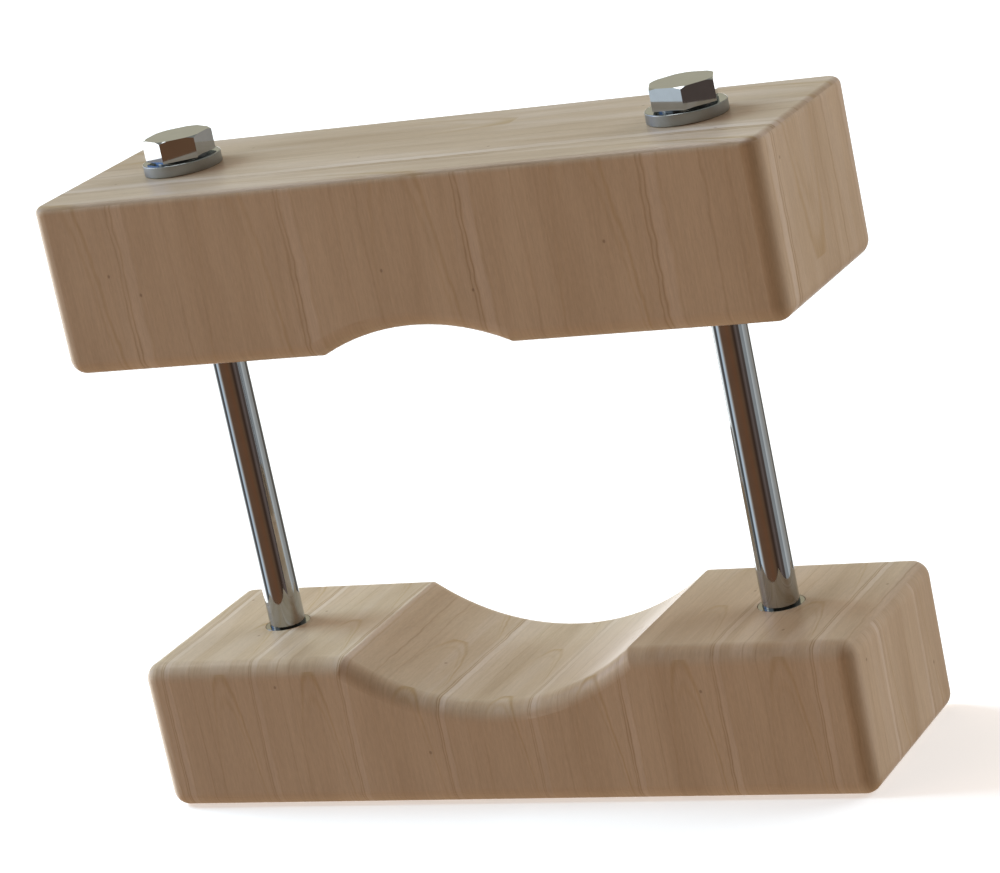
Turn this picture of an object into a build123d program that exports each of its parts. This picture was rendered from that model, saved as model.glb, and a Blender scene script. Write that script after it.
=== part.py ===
"""Two-bolt wooden saddle clamp for a round bar.

Two wooden jaws, one above the other, are joined by two long hex-head bolts. The lower jaw has a
wide saddle and the upper jaw a shallower notch, and the bar lies across the clamp between them.

Frame: X along the jaws, Y along the bar, Z up. The origin is the centre of the lower jaw's
underside. Lengths are in millimetres.
"""

import os
from math import tan, radians

from build123d import *

# jaws
JAW_LENGTH = 200.0
JAW_WIDTH = 60.0
LOWER_HEIGHT = 40.0
UPPER_HEIGHT = 45.0
JAW_GAP = 80.0
EDGE_RADIUS = 4.4
TOP_EDGE_RADIUS = 2.0
CREASE_RADIUS = 0.8

# round cuts that seat the bar: width across the mouth, and depth at the middle
SADDLE_CHORD = 80.0
SADDLE_DEPTH = 13.4
NOTCH_CHORD = 52.6
NOTCH_DEPTH = 6.0

# bolts, on the jaws' long centre line
BOLT_SPACING = 141.4
SHANK_DIAMETER = 9.5
BOLT_LENGTH = 160.0
THREAD_LENGTH = 32.0
THREAD_PITCH = 1.5
THREAD_DEPTH = 0.7
THREAD_CREST = 0.3
THREAD_ROOT = 0.3
HEAD_ACROSS_FLATS = 15.6
HEAD_HEIGHT = 6.0
CROWN_SHARE = 1.05
CROWN_SLOPE = 30.0
SEAT_DIAMETER = 14.5
SEAT_THICKNESS = 0.4
HEAD_TURN = {"left": 29.0, "right": 50.5}

# washers
WASHER_DIAMETER = 20.3
WASHER_BORE = 10.5
WASHER_THICKNESS = 3.0
WASHER_EDGE = 0.3

# bores for the bolts, and the threaded sleeves pressed into the lower jaw
CLEARANCE_BORE = 10.5
SLEEVE_DIAMETER = 12.2
SLEEVE_LENGTH = 35.0
SLEEVE_EDGE = 0.2
THREAD_CLEARANCE = 0.05

# heights that follow from the sizes above
UPPER_BOTTOM = LOWER_HEIGHT + JAW_GAP
UPPER_TOP = UPPER_BOTTOM + UPPER_HEIGHT
HEAD_SEAT = UPPER_TOP + WASHER_THICKNESS
BOLT_TIP = HEAD_SEAT - BOLT_LENGTH
SLEEVE_FLOOR = LOWER_HEIGHT - SLEEVE_LENGTH
BOLT_X = {"left": -BOLT_SPACING / 2, "right": BOLT_SPACING / 2}


def on_outline(edge):
    """True for an edge on a jaw's front, back or end face."""
    centre = edge.center()
    on_side = abs(centre.Y) > JAW_WIDTH / 2 - EDGE_RADIUS
    on_end = abs(centre.X) > JAW_LENGTH / 2 - EDGE_RADIUS
    return on_side or on_end


def is_crease(edge):
    """True for the line along Y where a round cut meets the flat face beside it."""
    return not on_outline(edge)


def make_lower_block():
    """Lower jaw: rounded edges, a saddle across the top and two blind pockets for the sleeves."""
    half = JAW_LENGTH / 2
    mouth = SADDLE_CHORD / 2
    with BuildPart() as block:
        with BuildSketch(Plane.XZ.offset(-JAW_WIDTH / 2)):
            with BuildLine():
                ThreePointArc(
                    (-mouth, LOWER_HEIGHT), (0, LOWER_HEIGHT - SADDLE_DEPTH), (mouth, LOWER_HEIGHT)
                )
                Polyline(
                    (mouth, LOWER_HEIGHT),
                    (half, LOWER_HEIGHT),
                    (half, 0),
                    (-half, 0),
                    (-half, LOWER_HEIGHT),
                    (-mouth, LOWER_HEIGHT),
                )
            make_face()
        extrude(amount=JAW_WIDTH)
        fillet(block.edges().filter_by(is_crease), radius=CREASE_RADIUS)
        fillet(block.edges().filter_by(on_outline), radius=EDGE_RADIUS)
        with BuildSketch(Plane.XY.offset(LOWER_HEIGHT)):
            with Locations((BOLT_X["left"], 0), (BOLT_X["right"], 0)):
                Circle(SLEEVE_DIAMETER / 2)
        extrude(amount=-SLEEVE_LENGTH, mode=Mode.SUBTRACT)
    block.part.label = "lower_block"
    return block.part


def make_upper_block():
    """Upper jaw: rounded edges, a shallow notch across the underside and two clearance bores."""
    half = JAW_LENGTH / 2
    mouth = NOTCH_CHORD / 2
    with BuildPart() as block:
        with BuildSketch(Plane.XZ.offset(-JAW_WIDTH / 2)):
            with BuildLine():
                ThreePointArc(
                    (-mouth, UPPER_BOTTOM), (0, UPPER_BOTTOM + NOTCH_DEPTH), (mouth, UPPER_BOTTOM)
                )
                Polyline(
                    (mouth, UPPER_BOTTOM),
                    (half, UPPER_BOTTOM),
                    (half, UPPER_TOP),
                    (-half, UPPER_TOP),
                    (-half, UPPER_BOTTOM),
                    (-mouth, UPPER_BOTTOM),
                )
            make_face()
        extrude(amount=JAW_WIDTH)
        fillet(block.edges().filter_by(is_crease), radius=CREASE_RADIUS)
        below_top = block.edges().filter_by(lambda edge: edge.center().Z < UPPER_TOP - TOP_EDGE_RADIUS)
        fillet(below_top.filter_by(on_outline), radius=EDGE_RADIUS)
        fillet(block.edges().group_by(Axis.Z)[-1], radius=TOP_EDGE_RADIUS)
        with BuildSketch(Plane.XY.offset(UPPER_BOTTOM)):
            with Locations((BOLT_X["left"], 0), (BOLT_X["right"], 0)):
                Circle(CLEARANCE_BORE / 2)
        extrude(amount=UPPER_HEIGHT, mode=Mode.SUBTRACT)
    block.part.label = "upper_block"
    return block.part


def thread_profile(x):
    """Outer corners of the ring-grooved end of a shank, from the tip upwards, on the XZ plane."""
    crest = x + SHANK_DIAMETER / 2
    root = crest - THREAD_DEPTH
    flank = (THREAD_PITCH - THREAD_CREST - THREAD_ROOT) / 2
    points = [(root, BOLT_TIP)]
    for ring in range(1, int(THREAD_LENGTH / THREAD_PITCH)):
        z = BOLT_TIP + ring * THREAD_PITCH
        points += [
            (root, z - flank - THREAD_CREST / 2),
            (crest, z - THREAD_CREST / 2),
            (crest, z + THREAD_CREST / 2),
            (root, z + flank + THREAD_CREST / 2),
        ]
    run_out = BOLT_TIP + THREAD_LENGTH
    return points + [(root, run_out - THREAD_DEPTH), (crest, run_out)]


def make_bolt(side):
    """Hex-head bolt with a washer face, a plain shank and a threaded end; `side` gives its place."""
    x = BOLT_X[side]
    hex_bottom = HEAD_SEAT + SEAT_THICKNESS
    head_top = HEAD_SEAT + HEAD_HEIGHT
    crown = CROWN_SHARE * HEAD_ACROSS_FLATS / 2
    skirt = HEAD_ACROSS_FLATS
    axis = Axis((x, 0, 0), (0, 0, 1))
    with BuildPart() as bolt:
        with BuildSketch(Plane.XY.offset(hex_bottom)):
            with Locations((x, 0)):
                RegularPolygon(
                    HEAD_ACROSS_FLATS / 2, 6, major_radius=False, rotation=HEAD_TURN[side]
                )
        extrude(amount=head_top - hex_bottom)
        with BuildSketch(Plane.XZ):
            with BuildLine():
                Polyline(
                    (x, HEAD_SEAT),
                    (x + skirt, HEAD_SEAT),
                    (x + skirt, head_top - (skirt - crown) * tan(radians(CROWN_SLOPE))),
                    (x + crown, head_top),
                    (x, head_top),
                    close=True,
                )
            make_face()
        revolve(axis=axis, mode=Mode.INTERSECT)
        with BuildSketch(Plane.XZ):
            with BuildLine():
                Polyline(
                    *thread_profile(x),
                    (x + SHANK_DIAMETER / 2, HEAD_SEAT),
                    (x + SEAT_DIAMETER / 2, HEAD_SEAT),
                    (x + SEAT_DIAMETER / 2, hex_bottom),
                    (x, hex_bottom),
                    (x, BOLT_TIP),
                    close=True,
                )
            make_face()
        revolve(axis=axis)
    bolt.part.label = side + "_bolt"
    return bolt.part


def make_washer(side):
    """Flat washer under a bolt's head."""
    with BuildPart() as washer:
        with BuildSketch(Plane.XY.offset(UPPER_TOP)):
            with Locations((BOLT_X[side], 0)):
                Circle(WASHER_DIAMETER / 2)
                Circle(WASHER_BORE / 2, mode=Mode.SUBTRACT)
        extrude(amount=WASHER_THICKNESS)
        rim = washer.edges().filter_by(GeomType.CIRCLE).group_by(SortBy.RADIUS)[-1]
        fillet(rim, radius=WASHER_EDGE)
    washer.part.label = side + "_washer"
    return washer.part


def make_insert(side):
    """Threaded sleeve, flush with the lower jaw's top; its bore stands at the thread's full size."""
    bore = SHANK_DIAMETER / 2 + THREAD_CLEARANCE
    with BuildPart() as insert:
        with BuildSketch(Plane.XY.offset(SLEEVE_FLOOR)):
            with Locations((BOLT_X[side], 0)):
                Circle(SLEEVE_DIAMETER / 2)
                Circle(bore, mode=Mode.SUBTRACT)
        extrude(amount=SLEEVE_LENGTH)
        rims = insert.edges().filter_by(GeomType.CIRCLE).group_by(Axis.Z)[-1]
        chamfer(rims.sort_by(SortBy.RADIUS)[-1], length=SLEEVE_EDGE)
    insert.part.label = side + "_insert"
    return insert.part


os.makedirs("parts", exist_ok=True)

pieces = [make_lower_block(), make_upper_block()]
for side in BOLT_X:
    pieces += [make_bolt(side), make_washer(side), make_insert(side)]

for piece in pieces:
    export_step(piece, f"parts/{piece.label}.step")
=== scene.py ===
"""Two-bolt wooden saddle clamp: camera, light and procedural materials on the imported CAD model."""

import math

import bpy
from mathutils import Matrix, Vector


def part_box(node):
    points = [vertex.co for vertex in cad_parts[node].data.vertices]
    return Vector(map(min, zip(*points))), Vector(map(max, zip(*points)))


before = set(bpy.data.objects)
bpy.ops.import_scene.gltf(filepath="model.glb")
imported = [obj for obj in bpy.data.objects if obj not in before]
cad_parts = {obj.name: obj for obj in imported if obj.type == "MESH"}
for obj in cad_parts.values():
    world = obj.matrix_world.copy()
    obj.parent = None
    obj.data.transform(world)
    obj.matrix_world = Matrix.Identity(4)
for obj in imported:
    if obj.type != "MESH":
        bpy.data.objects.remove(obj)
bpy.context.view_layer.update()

# Camera, in metres and degrees: it looks down at the front and the right end, rolled a little.
CAMERA_PLACE = (0.44889, -0.83063, 0.35310)
CAMERA_AZIMUTH = 28.23
CAMERA_PITCH = 15.72
CAMERA_ROLL = 11.87
CAMERA_LENS = 139.8
SENSOR_WIDTH = 36.0

FLOOR_SIZE = 30.0
FLOOR_COLOUR = (0.80, 0.80, 0.80, 1)
FLOOR_GLOW = 0.45
MM = 0.001


def feed(tree, node, inputs):
    """Gives a node's inputs their values or links."""
    for key, value in inputs.items():
        if isinstance(value, bpy.types.NodeSocket):
            tree.links.new(value, node.inputs[key])
        else:
            node.inputs[key].default_value = value


def add(tree, kind, inputs=None, **settings):
    """Adds a node, sets its properties, and gives its inputs values or links."""
    node = tree.nodes.new(kind)
    for name, value in settings.items():
        setattr(node, name, value)
    feed(tree, node, inputs or {})
    return node


def maths(tree, operation, a, b=0.0, c=0.0, clamp=False):
    """One Math node; a, b and c are numbers or sockets."""
    node = add(tree, "ShaderNodeMath", {0: a, 1: b, 2: c}, operation=operation, use_clamp=clamp)
    return node.outputs[0]


def vector_maths(tree, operation, a, b):
    """One Vector Math node; returns its node, because some results are numbers."""
    return add(tree, "ShaderNodeVectorMath", {0: a, 1: b}, operation=operation)


def smooth(tree, value, low, high):
    """0 below low, 1 above high, and eased between them."""
    inputs = {"Value": value, "From Min": low, "From Max": high}
    return add(tree, "ShaderNodeMapRange", inputs, interpolation_type="SMOOTHSTEP").outputs["Result"]


def mix(tree, factor, a, b, blend="MIX"):
    """Mixes two colours."""
    node = add(tree, "ShaderNodeMix", data_type="RGBA", blend_type=blend)
    feed(tree, node, {0: factor, 6: a, 7: b})
    return node.outputs[2]


def grey(level, warmth=0.0):
    """A colour of one level, a little warmer or cooler than neutral."""
    return (level * (1 + warmth), level, level * (1 - warmth), 1)


def ramp(tree, value, stops):
    """A colour ramp through (place, colour) stops."""
    node = add(tree, "ShaderNodeValToRGB", {"Fac": value})
    elements = node.color_ramp.elements
    elements[0].position, elements[0].color = stops[0]
    elements[-1].position, elements[-1].color = stops[-1]
    for place, colour in stops[1:-1]:
        elements.new(place).color = colour
    return node.outputs["Color"]


# ---------------------------------------------------------------- camera

def make_camera():
    """A long lens on the front and the right end, from a little above, with no shift."""
    data = bpy.data.cameras.new("camera")
    data.sensor_width = SENSOR_WIDTH
    data.lens = CAMERA_LENS
    azimuth, pitch = math.radians(CAMERA_AZIMUTH), math.radians(CAMERA_PITCH)
    flat = math.cos(pitch)
    look = Vector((-math.sin(azimuth) * flat, math.cos(azimuth) * flat, -math.sin(pitch)))
    right = look.cross(Vector((0, 0, 1))).normalized()
    up = right.cross(look)
    unrolled = Matrix((right, up, -look)).transposed().to_4x4()
    roll = Matrix.Rotation(math.radians(-CAMERA_ROLL), 4, "Z")
    camera = bpy.data.objects.new("camera", data)
    camera.matrix_world = Matrix.Translation(CAMERA_PLACE) @ unrolled @ roll
    bpy.context.scene.collection.objects.link(camera)
    bpy.context.scene.camera = camera


# ---------------------------------------------------------------- surroundings

# What the polished steel sees round the horizon, as (degrees clockwise from the camera's side,
# colour): LOW is the band just below the horizon and HIGH the band just above it.
LOW = [
    (-180, grey(2.6)), (-118, grey(2.6)), (-103, grey(0.36)), (-95, grey(0.10)), (-85, grey(0.13)),
    (-80, (0.78, 0.90, 1.06, 1)), (-72, (0.80, 0.88, 0.96, 1)), (-64, (0.40, 0.31, 0.26, 1)),
    (-57, (0.186, 0.105, 0.066, 1)), (-15, (0.210, 0.096, 0.050, 1)), (3, (0.174, 0.096, 0.055, 1)),
    (13, (0.087, 0.049, 0.034, 1)), (20, (0.062, 0.037, 0.025, 1)), (35, (0.200, 0.150, 0.135, 1)),
    (44, (0.110, 0.082, 0.072, 1)), (54, (0.110, 0.082, 0.072, 1)), (59, grey(0.42, -0.02)),
    (78, grey(0.38, -0.04)), (82, grey(0.76, -0.02)), (90, grey(0.62)), (101, grey(0.46, 0.02)),
    (118, grey(0.40, 0.10)), (124, grey(0.26, 0.12)), (130, grey(0.12, 0.14)), (142, grey(0.14, 0.14)),
    (155, grey(0.50, 0.04)), (180, grey(2.6)),
]
HIGH = [
    (-180, (0.52, 0.49, 0.38, 1)), (-140, (0.52, 0.50, 0.42, 1)), (-130, (0.60, 0.95, 1.70, 1)),
    (-114, (0.65, 1.00, 1.90, 1)), (-108, grey(2.4)), (-98, grey(2.4)), (-91, grey(0.60, -0.06)),
    (-64, grey(0.55, -0.06)), (-56, grey(0.05, 0.2)), (56, grey(0.05, 0.2)),
    (80, grey(0.10, 0.1)), (100, grey(0.28, 0.15)), (130, grey(0.28, 0.15)),
    (150, (0.52, 0.49, 0.38, 1)), (180, (0.52, 0.49, 0.38, 1)),
]

# The rest of what it sees: the ceiling, the ground, and one small bright panel and its direction.
OVERHEAD = (0.30, 0.30, 0.27, 1)
UNDERFOOT = (0.30, 0.18, 0.11, 1)
BRIGHT_PANEL = (4.0, 4.0, 4.0, 1)
BRIGHT_PANEL_WAY = (-0.294, 0.168, 0.941)

# The studio is dimmer in steel that is itself seen in steel, as on the tops of the washers.
SECOND_REFLECTION = (0.40, 0.43, 0.47, 1)

# Lamps, as (name, place, size, power, colour). They shine at AIM and aren't seen in the steel.
AIM = (0, 0, 0.1)
LIGHTS = [
    ("key", (-4.5, 0.45, 3.25), 2.7, 410.0, (0.53, 0.80, 0.98)),
    ("right_fill", (1.15, 0.95, 0.6), 1.3, 19.5, (0.66, 0.80, 0.92)),
]

# What else lights the wood: soft panels as (direction, colour), each fading out to the side.
PANELS = [
    ((-1, 0, 0), (1.74, 1.33, 1.09)),
    ((1, 0, 0), (0.44, 0.28, 0.18)),
    ((0, 1, 0), (0.76, 0.55, 0.32)),
    ((0, 0, -1), (0.34, 0.31, 0.24)),
]


def steel_surroundings(tree, direction, height):
    """The studio in the steel: two bands of light and dark panels, the ceiling, the ground and
    the bright panel."""
    azimuth = math.radians(CAMERA_AZIMUTH)
    front = (math.sin(azimuth), -math.cos(azimuth), 0)
    side = (math.cos(azimuth), math.sin(azimuth), 0)
    ahead = vector_maths(tree, "DOT_PRODUCT", direction, front).outputs["Value"]
    aside = vector_maths(tree, "DOT_PRODUCT", direction, side).outputs["Value"]
    turn = maths(tree, "MULTIPLY_ADD", maths(tree, "ARCTAN2", aside, ahead), 0.5 / math.pi, 0.5)
    low = ramp(tree, turn, [(angle / 360 + 0.5, colour) for angle, colour in LOW])
    high = ramp(tree, turn, [(angle / 360 + 0.5, colour) for angle, colour in HIGH])
    colour = mix(tree, smooth(tree, height, -0.03, 0.03), low, high)
    colour = mix(tree, smooth(tree, height, 0.50, 0.66), colour, OVERHEAD)
    colour = mix(tree, smooth(tree, height, -0.46, -0.60), colour, UNDERFOOT)
    way = Vector(BRIGHT_PANEL_WAY).normalized()
    facing = vector_maths(tree, "DOT_PRODUCT", direction, way).outputs["Value"]
    return mix(tree, smooth(tree, facing, 0.965, 0.985), colour, BRIGHT_PANEL)


def wood_surroundings(tree, direction):
    """The sum of the soft panels."""
    total = (0, 0, 0)
    for way, colour in PANELS:
        facing = vector_maths(tree, "DOT_PRODUCT", direction, way).outputs["Value"]
        facing = smooth(tree, facing, 0.0, 1.0)
        panel = add(tree, "ShaderNodeVectorMath", {0: colour, "Scale": facing}, operation="SCALE")
        total = vector_maths(tree, "ADD", total, panel.outputs[0]).outputs[0]
    return total


def make_world():
    """A plain studio, placed by direction: soft panels light the wood, the steel reflects sharper
    ones, and the backdrop is white."""
    world = bpy.data.worlds.new("studio")
    bpy.context.scene.world = world
    world.use_nodes = True
    world.cycles.sampling_method = "NONE"
    tree = world.node_tree
    tree.nodes.clear()
    direction = add(tree, "ShaderNodeTexCoord").outputs["Generated"]
    height = vector_maths(tree, "DOT_PRODUCT", direction, (0, 0, 1)).outputs["Value"]
    path = add(tree, "ShaderNodeLightPath").outputs
    in_gloss = maths(tree, "SUBTRACT", path["Is Glossy Ray"], path["Diffuse Depth"], clamp=True)
    steel = steel_surroundings(tree, direction, height)
    again = smooth(tree, path["Glossy Depth"], 1.2, 1.8)
    steel = mix(tree, again, steel, SECOND_REFLECTION, blend="MULTIPLY")
    colour = mix(tree, in_gloss, wood_surroundings(tree, direction), steel)
    colour = mix(tree, path["Is Camera Ray"], colour, grey(1.0))
    background = add(tree, "ShaderNodeBackground", {"Color": colour, "Strength": 1.0})
    output = add(tree, "ShaderNodeOutputWorld")
    tree.links.new(background.outputs[0], output.inputs["Surface"])


def make_light(name, place, size, power, colour):
    """A soft square lamp that shines from place to AIM."""
    data = bpy.data.lights.new(name, "AREA")
    data.shape = "SQUARE"
    data.size = size
    data.energy = power
    data.color = colour
    light = bpy.data.objects.new(name, data)
    light.location = place
    light.rotation_euler = (Vector(AIM) - Vector(place)).to_track_quat("-Z", "Y").to_euler()
    light.visible_glossy = False
    bpy.context.scene.collection.objects.link(light)


def make_floor():
    """A plain pale floor under the clamp. Steel and wood don't see it, so the studio lights them."""
    mesh = bpy.data.meshes.new("floor")
    half = FLOOR_SIZE / 2
    corners = [(-half, -half, 0), (half, -half, 0), (half, half, 0), (-half, half, 0)]
    mesh.from_pydata(corners, [], [(0, 1, 2, 3)])
    floor = bpy.data.objects.new("floor", mesh)
    bpy.context.scene.collection.objects.link(floor)
    floor.visible_glossy = False
    floor.visible_diffuse = False
    floor.visible_shadow = False
    material = bpy.data.materials.new("floor")
    material.use_nodes = True
    shader = material.node_tree.nodes["Principled BSDF"]
    shader.inputs["Base Color"].default_value = FLOOR_COLOUR
    shader.inputs["Emission Color"].default_value = (1.0, 1.0, 1.0, 1)
    shader.inputs["Emission Strength"].default_value = FLOOR_GLOW
    shader.inputs["Roughness"].default_value = 0.9
    shader.inputs["Specular IOR Level"].default_value = 0.0
    mesh.materials.append(material)


# ---------------------------------------------------------------- wood

WOOD_BASE = (0.470, 0.368, 0.262, 1)
WOOD_SHADE = (0.430, 0.328, 0.226, 1)
WOOD_PALE = (0.620, 0.540, 0.475, 1)
WOOD_LINE = (0.260, 0.165, 0.085, 1)
WOOD_ARCH = (0.350, 0.235, 0.110, 1)
WOOD_KNOT = (0.130, 0.070, 0.035, 1)
# Painted shade on the upper block's top: a darker, cooler tint that stands in for the dimmer, bluer
# light falling on that face.
UPPER_TOP_PAINTED_SHADE = (0.78, 0.78, 0.85, 1)

# How strong the figure is on each face, and how far back it is shifted on the upper block's top.
FRONT_CONTRAST = 1.0
UPWARD_CONTRAST = 1.6
END_CONTRAST = 1.35
UPPER_TOP_CONTRAST = 1.9
UPPER_TOP_SHIFT = 11 * MM

WOOD_ROUGHNESS = 0.40
WOOD_BUMP_DEPTH = 0.2 * MM

# Tone across one width of the figure, as (place, level): 0.5 is the plain wood, a paler strip
# is above it and a late-wood line is below it.
FIGURE = [
    (0.000, 0.50), (0.060, 0.52), (0.120, 0.50), (0.150, 0.55), (0.172, 0.51), (0.179, 0.28),
    (0.187, 0.50), (0.196, 0.51), (0.203, 0.26), (0.212, 0.57), (0.222, 0.65), (0.262, 0.65),
    (0.275, 0.52), (0.283, 0.43), (0.291, 0.53), (0.320, 0.50), (0.495, 0.51), (0.505, 0.38),
    (0.516, 0.50), (0.600, 0.47), (0.632, 0.46), (0.640, 0.38), (0.650, 0.46), (0.900, 0.46),
    (1.000, 0.50),
]
FIGURE_SHIFT = 0.77

# An arch's place and half width, in widths of the figure, and how much steeper it is on the tops.
ARCH_CENTRE = 0.86
ARCH_SPREAD = 0.30
ARCH_TOP_RISE = 1.67


def noise(tree, vector, detail=2.0, roughness=0.5):
    """A noise texture's value."""
    inputs = {"Vector": vector, "Scale": 1.0, "Detail": detail, "Roughness": roughness}
    return add(tree, "ShaderNodeTexNoise", inputs).outputs["Fac"]


def cells(tree, across, along, across_mm, along_mm, seed, shift=0.0):
    """Coordinates in cells of across_mm by along_mm millimetres, on a plane of their own."""
    u = maths(tree, "MULTIPLY", across, 1 / (across_mm * MM))
    v = maths(tree, "MULTIPLY", along, 1 / (along_mm * MM))
    w = maths(tree, "ADD", seed, shift)
    return add(tree, "ShaderNodeCombineXYZ", {"X": u, "Y": v, "Z": w}).outputs[0]


def ridge(tree, value, centre, width):
    """1 where value is at centre, falling to 0 at width to either side."""
    away = maths(tree, "ABSOLUTE", maths(tree, "SUBTRACT", value, centre))
    return maths(tree, "SUBTRACT", 1.0, smooth(tree, away, 0.0, width))


def wood_group():
    """Wood on a plane. Across and Along are places in metres across and along the grain, Rise is
    the place up the arches, measured from an arch's top, and Period is the figure's width."""
    tree = bpy.data.node_groups.new("wood_plane", "ShaderNodeTree")
    for name in ("Across", "Along", "Rise", "Seed", "Period", "Contrast"):
        tree.interface.new_socket(name, in_out="INPUT", socket_type="NodeSocketFloat")
    tree.interface.new_socket("Color", in_out="OUTPUT", socket_type="NodeSocketColor")
    tree.interface.new_socket("Height", in_out="OUTPUT", socket_type="NodeSocketFloat")
    start = tree.nodes.new("NodeGroupInput").outputs
    across, along, rise = start["Across"], start["Along"], start["Rise"]
    seed, period, contrast = start["Seed"], start["Period"], start["Contrast"]

    # the grain wanders a little from side to side
    wander = noise(tree, cells(tree, across, along, 30, 45, seed))
    shake = noise(tree, cells(tree, across, along, 3, 6, seed, 4.4), detail=1.0)
    place = maths(tree, "ADD", maths(tree, "DIVIDE", across, period), FIGURE_SHIFT)
    place = maths(tree, "MULTIPLY_ADD", maths(tree, "SUBTRACT", wander, 0.5), 0.07, place)
    place = maths(tree, "MULTIPLY_ADD", maths(tree, "SUBTRACT", shake, 0.5), 0.030, place)
    figure = maths(tree, "FRACT", place)

    # late-wood lines and a pale strip, stronger in some places than in others
    strength = noise(tree, cells(tree, across, along, 20, 50, seed, 9.1), detail=1.0)
    strength = maths(tree, "MULTIPLY_ADD", smooth(tree, strength, 0.3, 0.7), 0.7, 0.65)
    strength = maths(tree, "MULTIPLY", strength, contrast)
    tone = ramp(tree, figure, [(spot, grey(level)) for spot, level in FIGURE])
    tone = maths(tree, "MULTIPLY", maths(tree, "SUBTRACT", tone, 0.5), strength)

    # tall arches of the same wood lines, one to a period
    fall = maths(tree, "FRACT", maths(tree, "DIVIDE", rise, maths(tree, "MULTIPLY", period, -2.0)))
    aside = maths(tree, "FRACT", maths(tree, "SUBTRACT", place, ARCH_CENTRE - 0.5))
    aside = maths(tree, "SUBTRACT", aside, 0.5)
    spread = maths(tree, "DIVIDE", aside, ARCH_SPREAD)
    arch = maths(tree, "SUBTRACT", maths(tree, "MULTIPLY", spread, spread), fall)
    outer = ridge(tree, arch, 0.0, 0.075)
    inner = maths(tree, "MULTIPLY", ridge(tree, arch, -0.15, 0.050), 0.5)
    lean = maths(tree, "MAXIMUM", smooth(tree, aside, -0.06, 0.06), smooth(tree, fall, 0.30, 0.05))
    lean = maths(tree, "MULTIPLY_ADD", lean, 0.7, 0.3)
    fade = smooth(tree, fall, 0.95, 0.60)
    fade = maths(tree, "MULTIPLY_ADD", smooth(tree, fall, 0.12, 0.0), 0.3, fade)
    arches = maths(tree, "MULTIPLY", maths(tree, "MAXIMUM", outer, inner), strength)
    arches = maths(tree, "MULTIPLY", arches, maths(tree, "MULTIPLY", fade, lean))

    # cloudy bands, fibres and flecks
    cloud = noise(tree, cells(tree, across, along, 9, 80, seed, 5.3))
    fibre = noise(tree, cells(tree, across, along, 0.55, 14, seed, 2.2), detail=3.0)
    fleck = noise(tree, cells(tree, across, along, 0.25, 1.8, seed, 6.4))

    # pin knots
    spots = cells(tree, across, along, 37, 45, seed, 1.1)
    inputs = {"Vector": spots, "Scale": 1.0}
    spots = add(tree, "ShaderNodeTexVoronoi", inputs, voronoi_dimensions="2D")
    knot = smooth(tree, spots.outputs["Distance"], 0.014, 0.005)

    cloudy = maths(tree, "MULTIPLY", smooth(tree, cloud, 0.35, 0.65), 0.7)
    cloudy = maths(tree, "MULTIPLY", cloudy, contrast)
    colour = mix(tree, cloudy, WOOD_BASE, WOOD_SHADE)
    band = noise(tree, cells(tree, across, along, 5, 60, seed, 7.7))
    banding = maths(tree, "MULTIPLY", maths(tree, "SUBTRACT", contrast, 1.0), 0.3)
    for low, high, shade in ((0.50, 0.66, WOOD_PALE), (0.45, 0.30, WOOD_LINE)):
        factor = maths(tree, "MULTIPLY", smooth(tree, band, low, high), banding)
        colour = mix(tree, factor, colour, shade)
    colour = mix(tree, maths(tree, "MULTIPLY", tone, 1.4, clamp=True), colour, WOOD_PALE)
    colour = mix(tree, maths(tree, "MULTIPLY", tone, -2.0, clamp=True), colour, WOOD_LINE)
    colour = mix(tree, maths(tree, "MULTIPLY", arches, 0.33), colour, WOOD_ARCH)
    streak = maths(tree, "MULTIPLY_ADD", maths(tree, "SUBTRACT", fibre, 0.5), 0.24, 1.0)
    streak = maths(tree, "MULTIPLY_ADD", maths(tree, "SUBTRACT", fleck, 0.5), 0.24, streak)
    shade = add(tree, "ShaderNodeCombineColor", {0: streak, 1: streak, 2: streak}).outputs[0]
    colour = mix(tree, 1.0, colour, shade, blend="MULTIPLY")
    colour = mix(tree, maths(tree, "MULTIPLY", knot, 0.5), colour, WOOD_KNOT)

    height = maths(tree, "MULTIPLY_ADD", fibre, 0.5, maths(tree, "MULTIPLY", fleck, 0.35))
    height = maths(tree, "MULTIPLY_ADD", tone, 0.4, height)
    height = maths(tree, "MULTIPLY_ADD", knot, -0.8, height)
    end = tree.nodes.new("NodeGroupOutput")
    tree.links.new(colour, end.inputs["Color"])
    tree.links.new(height, end.inputs["Height"])
    return tree


def add_group(tree, group, inputs):
    """One use of a node group; returns its outputs."""
    node = tree.nodes.new("ShaderNodeGroup")
    node.node_tree = group
    feed(tree, node, inputs)
    return node.outputs


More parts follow.
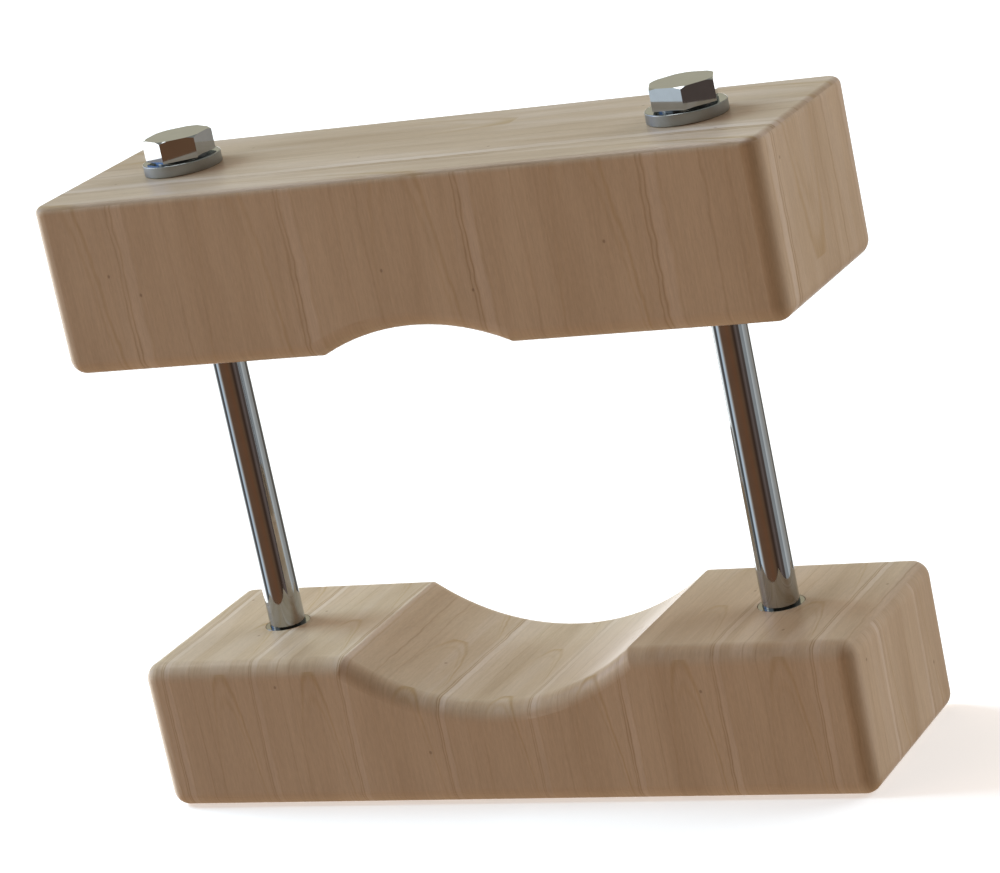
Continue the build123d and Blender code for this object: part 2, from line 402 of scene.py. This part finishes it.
def make_wood(name, group, seed, period, arch_tops, lengthwise_above=None):
    """Wood for one block. The grain stands upright on the front, back and ends and runs front to
    back on the top. Above the height lengthwise_above, flat faces have it along the block.
    arch_tops is where the arches end, in metres: up the front and back, on the ends, on the top."""
    material = bpy.data.materials.new(name)
    material.use_nodes = True
    tree = material.node_tree
    shader = tree.nodes["Principled BSDF"]
    coordinates = add(tree, "ShaderNodeTexCoord")
    place = add(tree, "ShaderNodeSeparateXYZ", {0: coordinates.outputs["Object"]}).outputs
    normal = add(tree, "ShaderNodeSeparateXYZ", {0: coordinates.outputs["Normal"]}).outputs
    x, y, z = place["X"], place["Y"], place["Z"]

    def plane(across, along, rise, top, offset, contrast):
        """The colour and height of the wood on one set of faces."""
        rise = maths(tree, "SUBTRACT", rise, top)
        inputs = {"Across": across, "Along": along, "Rise": rise}
        inputs.update({"Seed": seed + offset, "Period": period, "Contrast": contrast})
        return add_group(tree, group, inputs)

    def cover(factor, under, over):
        """One surface where factor is 0, and the other where it is 1."""
        colour = mix(tree, factor, under[0], over[0])
        rise = maths(tree, "SUBTRACT", over[1], under[1])
        return colour, maths(tree, "MULTIPLY_ADD", rise, factor, under[1])

    front_top, end_top, upper_end = arch_tops
    down = maths(tree, "MULTIPLY", z, -1.0)
    back = maths(tree, "MULTIPLY", y, -1.0)
    upward = smooth(tree, normal["Z"], 0.3, 0.7)
    gain = UPWARD_CONTRAST - FRONT_CONTRAST
    contrast = maths(tree, "MULTIPLY_ADD", upward, gain, FRONT_CONTRAST)
    rise = maths(tree, "MULTIPLY_ADD", y, ARCH_TOP_RISE, z)
    surface = plane(x, maths(tree, "ADD", y, z), rise, front_top, 0.0, contrast)
    on_end = smooth(tree, maths(tree, "ABSOLUTE", normal["X"]), 0.66, 0.76)
    surface = cover(on_end, surface, plane(back, down, down, end_top, 20.0, END_CONTRAST))
    if lengthwise_above is not None:
        on_top = smooth(tree, normal["Z"], 0.5, 0.6)
        on_top = maths(tree, "MULTIPLY", on_top, maths(tree, "GREATER_THAN", z, lengthwise_above))
        across = maths(tree, "SUBTRACT", y, UPPER_TOP_SHIFT)
        top = plane(across, x, x, upper_end, 40.0, UPPER_TOP_CONTRAST)
        surface = cover(on_top, surface, top)
        # painted shade: the upper top is darkened and cooled at half strength, standing in for its
        # dimmer, bluer light
        half = maths(tree, "MULTIPLY", on_top, 0.5)
        painted_shade_top = mix(tree, half, surface[0], UPPER_TOP_PAINTED_SHADE, blend="MULTIPLY")
        surface = painted_shade_top, surface[1]
    colour, height = surface
    inputs = {"Strength": 0.15, "Distance": WOOD_BUMP_DEPTH, "Height": height}
    bump = add(tree, "ShaderNodeBump", inputs)
    rough = maths(tree, "MULTIPLY_ADD", height, -0.10, WOOD_ROUGHNESS)
    tree.links.new(colour, shader.inputs["Base Color"])
    tree.links.new(rough, shader.inputs["Roughness"])
    tree.links.new(bump.outputs[0], shader.inputs["Normal"])
    shader.inputs["Specular IOR Level"].default_value = 0.5
    return material


# ---------------------------------------------------------------- steel

BOLT_COLOUR = (0.50, 0.53, 0.54, 1)
WASHER_COLOUR = (0.47, 0.50, 0.50, 1)
SLEEVE_COLOUR = (0.46, 0.44, 0.38, 1)

# How dark the smears are, against the clean steel, and how far they change the roughness.
SMEAR_TONE = 0.94
SMEAR_ROUGHNESS = 0.04


def make_steel(name, colour, roughness, rim_roughness):
    """Polished steel with faint rings and smears; upright faces have their own roughness."""
    material = bpy.data.materials.new(name)
    material.use_nodes = True
    tree = material.node_tree
    shader = tree.nodes["Principled BSDF"]
    shader.inputs["Metallic"].default_value = 1.0
    coordinates = add(tree, "ShaderNodeTexCoord").outputs
    place = coordinates["Object"]
    smear = add(tree, "ShaderNodeMapping", {"Vector": place, "Scale": (260, 260, 260)}).outputs[0]
    smear = noise(tree, smear, detail=3.0)
    fine = add(tree, "ShaderNodeMapping", {"Vector": place, "Scale": (60, 60, 2500)}).outputs[0]
    fine = noise(tree, fine)
    smeared = tuple(SMEAR_TONE * level for level in colour[:3]) + (1,)
    tint = mix(tree, smooth(tree, smear, 0.3, 0.7), colour, smeared)
    normal = add(tree, "ShaderNodeSeparateXYZ", {0: coordinates["Normal"]})
    upright = smooth(tree, maths(tree, "ABSOLUTE", normal.outputs["Z"]), 0.8, 0.4)
    clean = roughness - SMEAR_ROUGHNESS / 2
    rough = maths(tree, "MULTIPLY_ADD", upright, rim_roughness - roughness, clean)
    rough = maths(tree, "MULTIPLY_ADD", smear, SMEAR_ROUGHNESS, rough)
    bump = add(tree, "ShaderNodeBump", {"Strength": 0.03, "Distance": 0.00002, "Height": fine})
    tree.links.new(tint, shader.inputs["Base Color"])
    tree.links.new(rough, shader.inputs["Roughness"])
    tree.links.new(bump.outputs[0], shader.inputs["Normal"])
    return material


def give(node, material):
    """Puts a material on every slot of a CAD node."""
    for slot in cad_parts[node].material_slots:
        slot.material = material


make_camera()
make_world()
make_floor()
for light in LIGHTS:
    make_light(*light)

wood = wood_group()
upper_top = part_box("upper_block")[1][2]
lower_arches = (-12 * MM, -50 * MM, 0)
upper_arches = (131 * MM, -129 * MM, 17 * MM)
lower_wood = make_wood("lower_wood", wood, seed=1.0, period=26.1 * MM, arch_tops=lower_arches)
upper_wood = make_wood(
    "upper_wood", wood, seed=8.0, period=48.9 * MM, arch_tops=upper_arches,
    lengthwise_above=upper_top - 3 * MM,
)
give("lower_block", lower_wood)
give("upper_block", upper_wood)
bolt_steel = make_steel("bolt_steel", BOLT_COLOUR, roughness=0.05, rim_roughness=0.05)
washer_steel = make_steel("washer_steel", WASHER_COLOUR, roughness=0.10, rim_roughness=0.38)
sleeve_steel = make_steel("sleeve_steel", SLEEVE_COLOUR, roughness=0.10, rim_roughness=0.06)
for side in ("left", "right"):
    give(side + "_bolt", bolt_steel)
    give(side + "_washer", washer_steel)
    give(side + "_insert", sleeve_steel)

bpy.context.scene.view_settings.view_transform = "Standard"
